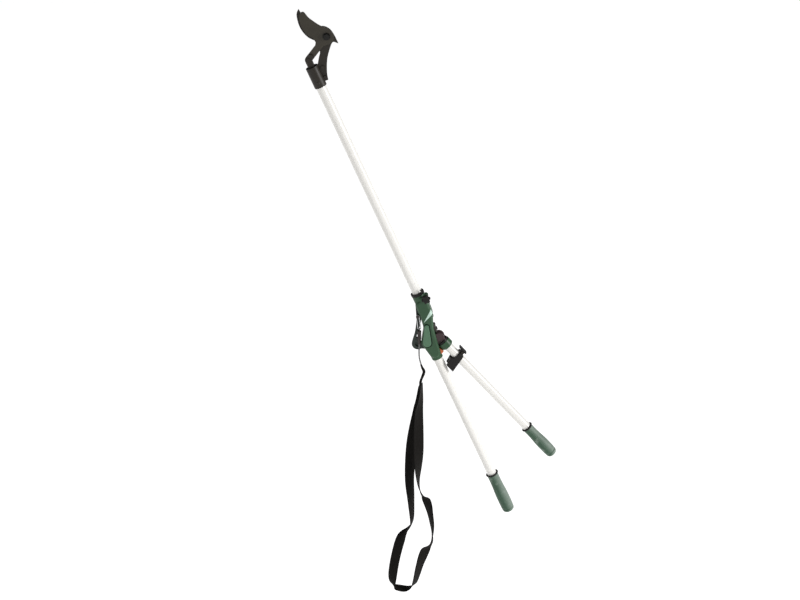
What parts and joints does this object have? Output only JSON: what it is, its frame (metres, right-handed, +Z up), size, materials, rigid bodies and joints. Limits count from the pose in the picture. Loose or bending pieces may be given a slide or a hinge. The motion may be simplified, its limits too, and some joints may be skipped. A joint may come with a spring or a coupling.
{
  "type": "long-reach tree pruner",
  "caption": "Tree pruner on a leaning pole: a bypass head worked by a hand lever through a pull rod, with a clamped turning pole, two soft grips and a hanging webbing strap.",
  "frame": {"origin": "centre of the main grip, on the axis of the handle tube", "axes": "+Z up with the pole leaning 23.2 degrees towards -X, +Y into the picture, front (blade side) towards -Y"},
  "size_m": [0.6854, 0.0511, 1.6989],
  "materials": {
    "white_paint": "smooth off-white enamel",
    "green_plastic": "moulded dark green plastic, fine satin",
    "panel_green": "moulded green plastic, lighter than the shells",
    "grip_rubber": "soft green grip",
    "black_plastic": "moulded black plastic",
    "drum_brown": "moulded dark reddish brown plastic",
    "spine_grey": "dark grey-green plastic",
    "nylon": "natural white nylon",
    "zinc_steel": "plain bright steel",
    "stop_rubber": "orange rubber",
    "black_coated_steel": "dark low-friction coating, slightly brown",
    "blade_steel": "dark brown-grey coating on a ground blade",
    "bolt_black": "blackened bolt",
    "hook_steel": "dark bronzed wire",
    "grey_cord": "braided grey cord",
    "black_webbing": "woven black webbing"
  },
  "bodies": {
    "handle": {"handle_tube": "white_paint", "main_grip": "grip_rubber", "main_grip_collar": "black_plastic", "housing_front": "green_plastic", "housing_back": "green_plastic", "pivot_cover": "panel_green", "strap_eye": "spine_grey", "neck_ring": "black_plastic", "pole_bush": "nylon", "clamp_nut": "zinc_steel", "lever_pivot_bolt": "zinc_steel", "lever_pivot_nut": "zinc_steel", "housing_screws": "zinc_steel", "handle_screw": "zinc_steel", "stop_bumper": "stop_rubber", "strap_stud": "hook_steel"},
    "pole": {"upper_tube": "white_paint", "pole_stop_ring": "zinc_steel", "rod_guides": "nylon", "head_collar": "black_coated_steel", "collar_rivets": "black_coated_steel", "hook_jaw": "black_coated_steel", "jaw_bolts": "black_coated_steel", "jaw_nuts": "black_coated_steel", "blade_bolt": "bolt_black", "blade_washer": "bolt_black", "blade_nut": "black_coated_steel"},
    "blade": {"blade": "blade_steel"},
    "pull_rod": {"pull_rod": "zinc_steel", "rod_clevis": "black_coated_steel", "tail_pin": "black_coated_steel"},
    "rod_eye": {"rod_eye": "black_coated_steel"},
    "lever": {"lever_root": "drum_brown", "lever_band": "black_plastic", "lever_bush": "nylon", "drive_pin": "black_coated_steel", "lever_cap": "green_plastic", "lever_tube": "white_paint", "lever_clip": "black_plastic", "clip_screw": "black_coated_steel", "lever_grip": "grip_rubber", "lever_grip_collar": "black_plastic"},
    "knob": {"clamp_knob": "black_plastic", "clamp_screw": "zinc_steel"},
    "strap": {"strap_ring": "zinc_steel", "snap_hook": "hook_steel", "strap_cord": "grey_cord", "strap_loop": "black_webbing", "strap_webbing": "black_webbing"}
  },
  "joints": [
    {"name": "lever_swing", "type": "hinge", "parent": "handle", "child": "lever", "pos_m": [-0.20931, 0, 0.4706], "axis": [0, -1, 0], "range_deg": [0, 44]},
    {"name": "head_turn", "type": "hinge", "parent": "handle", "child": "pole", "pos_m": [-0.22054, 0, 0.57676], "axis": [-0.3939, 0, 0.9191], "range_deg": [-90, 90]},
    {"name": "blade_swing", "type": "hinge", "parent": "pole", "child": "blade", "pos_m": [-0.46245, 0, 1.30973], "axis": [0, 1, 0], "range_deg": [0, 19.26]},
    {"name": "rod_slide", "type": "slide", "parent": "pole", "child": "pull_rod", "axis": [-0.3939, 0, 0.9191], "range_m": [0, 0.02545]},
    {"name": "eye_slide", "type": "slide", "parent": "handle", "child": "rod_eye", "axis": [-0.3939, 0, 0.9191], "range_m": [0, 0.02545]},
    {"name": "knob_turn", "type": "hinge", "parent": "handle", "child": "knob", "pos_m": [-0.21227, 0, 0.60315], "axis": [0, 1, 0], "continuous": true},
    {"name": "strap_swing", "type": "hinge", "parent": "handle", "child": "strap", "pos_m": [-0.23419, -0.0098, 0.54589], "axis": [0, 1, 0], "range_deg": [0, 40]}
  ],
  "couplings": [
    {"joint": "blade_swing", "follows": "lever_swing", "ratio": 0.43773},
    {"joint": "rod_slide", "follows": "lever_swing", "m_per_rad": 0.033145},
    {"joint": "eye_slide", "follows": "lever_swing", "m_per_rad": 0.033145}
  ]
}
